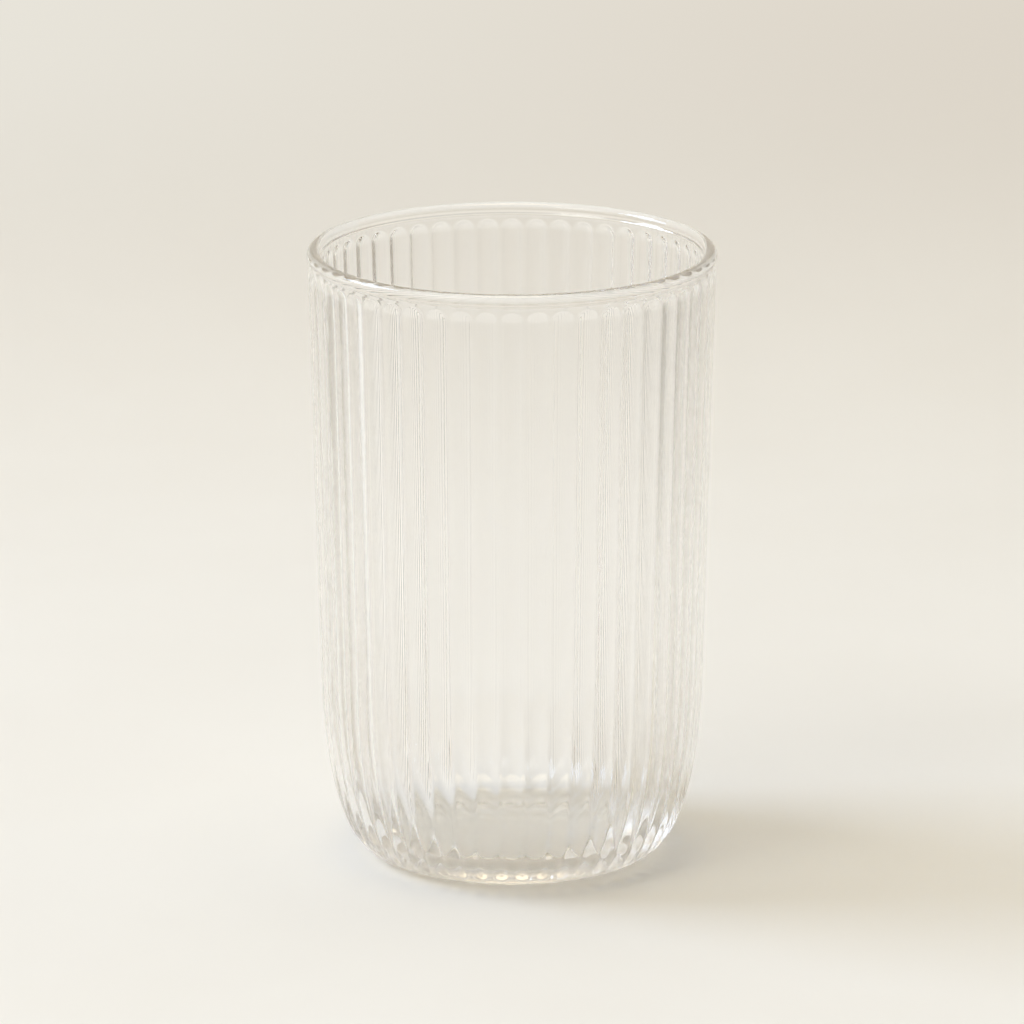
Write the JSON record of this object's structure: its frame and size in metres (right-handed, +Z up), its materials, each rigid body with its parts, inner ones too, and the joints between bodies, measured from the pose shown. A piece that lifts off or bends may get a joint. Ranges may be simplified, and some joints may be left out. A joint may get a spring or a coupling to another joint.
{
  "type": "ribbed tumbler",
  "caption": "Clear glass drinking tumbler with upright rounded ribs on the outside, a smooth inside, a full-round lip, a rounded heel and a flat ring to stand on.",
  "frame": {"origin": "centre of the plane that the foot rests on", "axes": "+Z up along the axis of the glass, -Y towards the picture's camera, +X to its right"},
  "size_m": [0.08, 0.08, 0.122],
  "materials": {
    "clear_glass": "clear, fire-polished, smooth inside and ribbed outside"
  },
  "bodies": {
    "root": {"glass_body": "clear_glass"}
  },
  "joints": []
}
